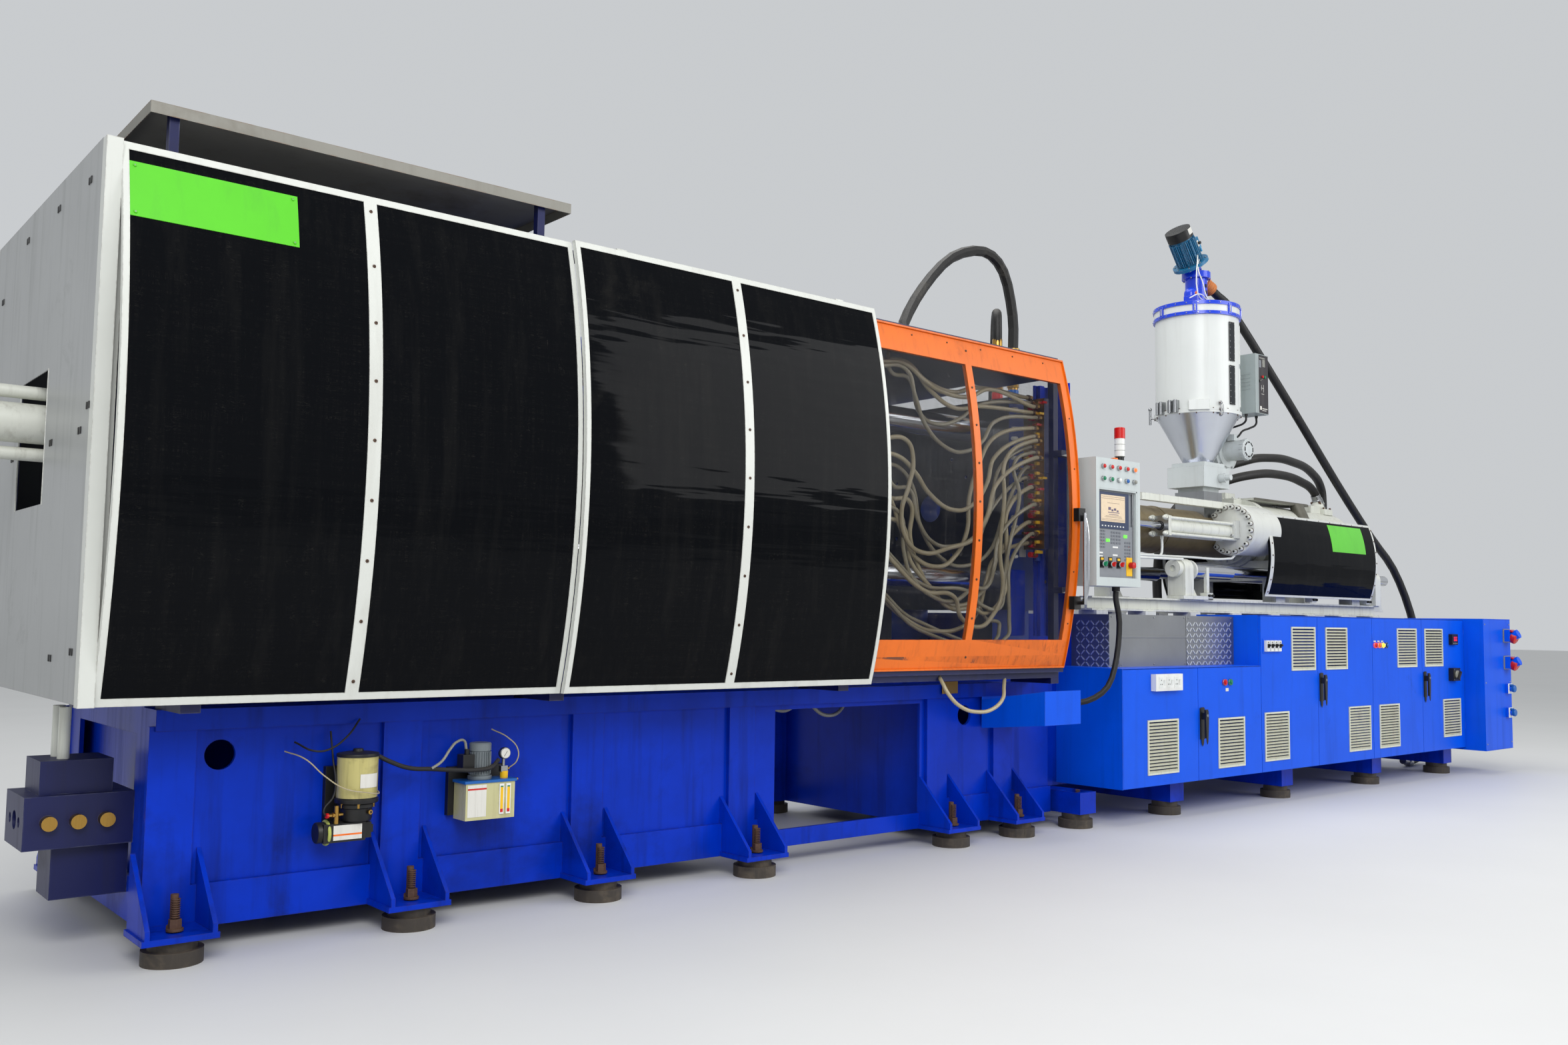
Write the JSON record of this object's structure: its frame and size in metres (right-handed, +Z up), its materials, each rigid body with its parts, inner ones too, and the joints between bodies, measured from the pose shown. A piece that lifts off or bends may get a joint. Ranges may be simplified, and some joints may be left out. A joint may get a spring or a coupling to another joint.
{
  "type": "injection moulding machine",
  "caption": "Horizontal toggle injection moulding machine with curved sliding guards, control panel, injection unit, dryer hopper and blue cabinets.",
  "frame": {"origin": "on the floor, under the middle of the machine's length and width", "axes": "+X along the machine from the clamp end to the injection end, +Y away from the operator, +Z up"},
  "size_m": [13.7652, 2.9439, 5.1443],
  "materials": {
    "clamp_base": "satin",
    "levelling_mounts": "matt",
    "injection_base": "satin",
    "pump_motors": "satin",
    "guard_frame": "satin",
    "fixed_guard_frame": "satin",
    "fixed_guard_panels": "gloss",
    "end_panel": "satin",
    "roof_panel": "satin",
    "rear_guards": "satin",
    "stationary_platen": "satin",
    "tie_bars": "polished",
    "hydraulic_manifold": "satin",
    "material_tray": "satin",
    "water_manifold": "satin",
    "cooling_hoses": "translucent",
    "lubricators": "satin",
    "cabinet_shell": "satin",
    "tread_plates": "bright",
    "end_cabinet": "satin",
    "water_hoses": "matt",
    "carriage_base": "satin",
    "guide_bars": "polished",
    "gate_frame": "chipped",
    "gate_window": "scratched",
    "gate_handle": "polished",
    "sliding_guard_frame": "satin",
    "sliding_guard_panels": "gloss",
    "tail_platen": "satin",
    "clamp_cylinder": "satin",
    "rear_link_upper": "satin",
    "front_link_upper": "satin",
    "cross_link_upper": "satin",
    "rear_link_lower": "satin",
    "front_link_lower": "satin",
    "cross_link_lower": "satin",
    "crosshead": "satin",
    "moving_platen": "satin",
    "ejector": "bright",
    "injection_housing": "satin",
    "barrel": "heat tinted",
    "barrel_cover": "grimy",
    "carriage_cylinders": "satin",
    "injection_cover": "gloss",
    "hopper_barrel": "gloss",
    "hopper_cone": "bright",
    "hopper_loader": "gloss",
    "dryer_units": "satin",
    "injection_piston": "polished",
    "screw": "polished",
    "control_panel": "satin",
    "emergency_stop": "gloss",
    "door_1": "satin",
    "door_2": "satin",
    "door_3": "satin",
    "door_4": "satin",
    "door_5": "satin",
    "door_6": "satin",
    "panel_cable": "matt",
    "loader_hose": "matt"
  },
  "bodies": {
    "base": {"clamp_base": "clamp_base", "levelling_mounts": "levelling_mounts", "injection_base": "injection_base", "pump_motors": "pump_motors", "guard_frame": "guard_frame", "fixed_guard_frame": "fixed_guard_frame", "fixed_guard_panels": "fixed_guard_panels", "end_panel": "end_panel", "roof_panel": "roof_panel", "rear_guards": "rear_guards", "stationary_platen": "stationary_platen", "tie_bars": "tie_bars", "hydraulic_manifold": "hydraulic_manifold", "material_tray": "material_tray", "water_manifold": "water_manifold", "cooling_hoses": "cooling_hoses", "lubricators": "lubricators", "cabinet_shell": "cabinet_shell", "tread_plates": "tread_plates", "end_cabinet": "end_cabinet", "water_hoses": "water_hoses", "carriage_base": "carriage_base", "guide_bars": "guide_bars", "panel_cable": "panel_cable"},
    "operator_gate": {"gate_frame": "gate_frame", "gate_window": "gate_window", "gate_handle": "gate_handle"},
    "sliding_guard": {"sliding_guard_frame": "sliding_guard_frame", "sliding_guard_panels": "sliding_guard_panels"},
    "tail_platen": {"tail_platen": "tail_platen", "clamp_cylinder": "clamp_cylinder"},
    "rear_link_upper": {"rear_link_upper": "rear_link_upper"},
    "front_link_upper": {"front_link_upper": "front_link_upper"},
    "cross_link_upper": {"cross_link_upper": "cross_link_upper"},
    "rear_link_lower": {"rear_link_lower": "rear_link_lower"},
    "front_link_lower": {"front_link_lower": "front_link_lower"},
    "cross_link_lower": {"cross_link_lower": "cross_link_lower"},
    "crosshead": {"crosshead": "crosshead"},
    "moving_platen": {"moving_platen": "moving_platen"},
    "ejector": {"ejector": "ejector"},
    "carriage": {"injection_housing": "injection_housing", "barrel": "barrel", "barrel_cover": "barrel_cover", "carriage_cylinders": "carriage_cylinders", "injection_cover": "injection_cover", "hopper_barrel": "hopper_barrel", "hopper_cone": "hopper_cone", "hopper_loader": "hopper_loader", "dryer_units": "dryer_units", "loader_hose": "loader_hose"},
    "injection_piston": {"injection_piston": "injection_piston"},
    "screw": {"screw": "screw"},
    "control_panel": {"control_panel": "control_panel"},
    "emergency_stop": {"emergency_stop": "emergency_stop"},
    "door_1": {"door_1": "door_1"},
    "door_2": {"door_2": "door_2"},
    "door_3": {"door_3": "door_3"},
    "door_4": {"door_4": "door_4"},
    "door_5": {"door_5": "door_5"},
    "door_6": {"door_6": "door_6"}
  },
  "joints": [
    {"name": "die_height_slide", "type": "slide", "parent": "base", "child": "tail_platen", "axis": [1, 0, 0], "range_m": [-0.1, 0.3]},
    {"name": "toggle", "type": "hinge", "parent": "tail_platen", "child": "rear_link_upper", "pos_m": [-3.33417, 0, 2.64], "axis": [0, 1, 0], "range_deg": [0, 66]},
    {"name": "front_link_upper_pin", "type": "hinge", "parent": "rear_link_upper", "child": "front_link_upper", "pos_m": [-3.07944, 0, 3.27048], "axis": [0, 1, 0], "range_deg": [-132, 0]},
    {"name": "moving_platen_pin", "type": "hinge", "parent": "front_link_upper", "child": "moving_platen", "pos_m": [-2.82471, 0, 2.64], "axis": [0, 1, 0], "range_deg": [0, 66]},
    {"name": "cross_link_upper_pin", "type": "hinge", "parent": "rear_link_upper", "child": "cross_link_upper", "pos_m": [-3.31951, 0, 3.05974], "axis": [0, 1, 0], "range_deg": [-132, 0]},
    {"name": "crosshead_pin", "type": "hinge", "parent": "cross_link_upper", "child": "crosshead", "pos_m": [-3.30486, 0, 2.64], "axis": [0, 1, 0], "range_deg": [0, 66]},
    {"name": "rear_link_lower_pin", "type": "hinge", "parent": "tail_platen", "child": "rear_link_lower", "pos_m": [-3.33417, 0, 1.9], "axis": [0, 1, 0], "range_deg": [-66, 0]},
    {"name": "front_link_lower_pin", "type": "hinge", "parent": "rear_link_lower", "child": "front_link_lower", "pos_m": [-3.07944, 0, 1.26951], "axis": [0, 1, 0], "range_deg": [0, 132]},
    {"name": "cross_link_lower_pin", "type": "hinge", "parent": "rear_link_lower", "child": "cross_link_lower", "pos_m": [-3.31951, 0, 1.48026], "axis": [0, 1, 0], "range_deg": [0, 132]},
    {"name": "ejector_stroke", "type": "slide", "parent": "moving_platen", "child": "ejector", "axis": [1, 0, 0], "range_m": [0, 0.15]},
    {"name": "gate_slide", "type": "slide", "parent": "base", "child": "operator_gate", "axis": [1, 0, 0], "range_m": [-0.95, 0]},
    {"name": "guard_slide", "type": "slide", "parent": "base", "child": "sliding_guard", "axis": [1, 0, 0], "range_m": [-1.95, 0]},
    {"name": "carriage_slide", "type": "slide", "parent": "base", "child": "carriage", "axis": [1, 0, 0], "range_m": [-0.35, 0]},
    {"name": "piston_stroke", "type": "slide", "parent": "carriage", "child": "injection_piston", "axis": [1, 0, 0], "range_m": [-0.42, 0]},
    {"name": "screw_turn", "type": "hinge", "parent": "injection_piston", "child": "screw", "pos_m": [4.155, 0, 2.27], "axis": [1, 0, 0], "continuous": true},
    {"name": "panel_swivel", "type": "hinge", "parent": "base", "child": "control_panel", "pos_m": [-0.115, -1.088, 1.69], "axis": [0, 0, 1], "range_deg": [-14, 60]},
    {"name": "emergency_stop_press", "type": "slide", "parent": "control_panel", "child": "emergency_stop", "axis": [0, 1, 0], "range_m": [0, 0.006], "stiffness_N_per_m": 1500},
    {"name": "door_1_hinge", "type": "hinge", "parent": "base", "child": "door_1", "pos_m": [0.402, -1.14, 0.9], "axis": [0, 0, 1], "range_deg": [-95, 0]},
    {"name": "door_2_hinge", "type": "hinge", "parent": "base", "child": "door_2", "pos_m": [2.272, -1.14, 0.9], "axis": [0, 0, 1], "range_deg": [0, 95]},
    {"name": "door_3_hinge", "type": "hinge", "parent": "base", "child": "door_3", "pos_m": [2.278, -1.14, 0.9], "axis": [0, 0, 1], "range_deg": [-95, 0]},
    {"name": "door_4_hinge", "type": "hinge", "parent": "base", "child": "door_4", "pos_m": [4.182, -1.14, 0.9], "axis": [0, 0, 1], "range_deg": [0, 95]},
    {"name": "door_5_hinge", "type": "hinge", "parent": "base", "child": "door_5", "pos_m": [4.188, -1.14, 0.9], "axis": [0, 0, 1], "range_deg": [-95, 0]},
    {"name": "door_6_hinge", "type": "hinge", "parent": "base", "child": "door_6", "pos_m": [6.122, -1.14, 0.9], "axis": [0, 0, 1], "range_deg": [0, 78]}
  ],
  "couplings": [
    {"joint": "front_link_upper_pin", "follows": "toggle", "ratio": -2},
    {"joint": "moving_platen_pin", "follows": "toggle", "ratio": 1},
    {"joint": "cross_link_upper_pin", "follows": "toggle", "ratio": -2},
    {"joint": "crosshead_pin", "follows": "toggle", "ratio": 1},
    {"joint": "rear_link_lower_pin", "follows": "toggle", "ratio": -1},
    {"joint": "front_link_lower_pin", "follows": "toggle", "ratio": 2},
    {"joint": "cross_link_lower_pin", "follows": "toggle", "ratio": 2}
  ]
}
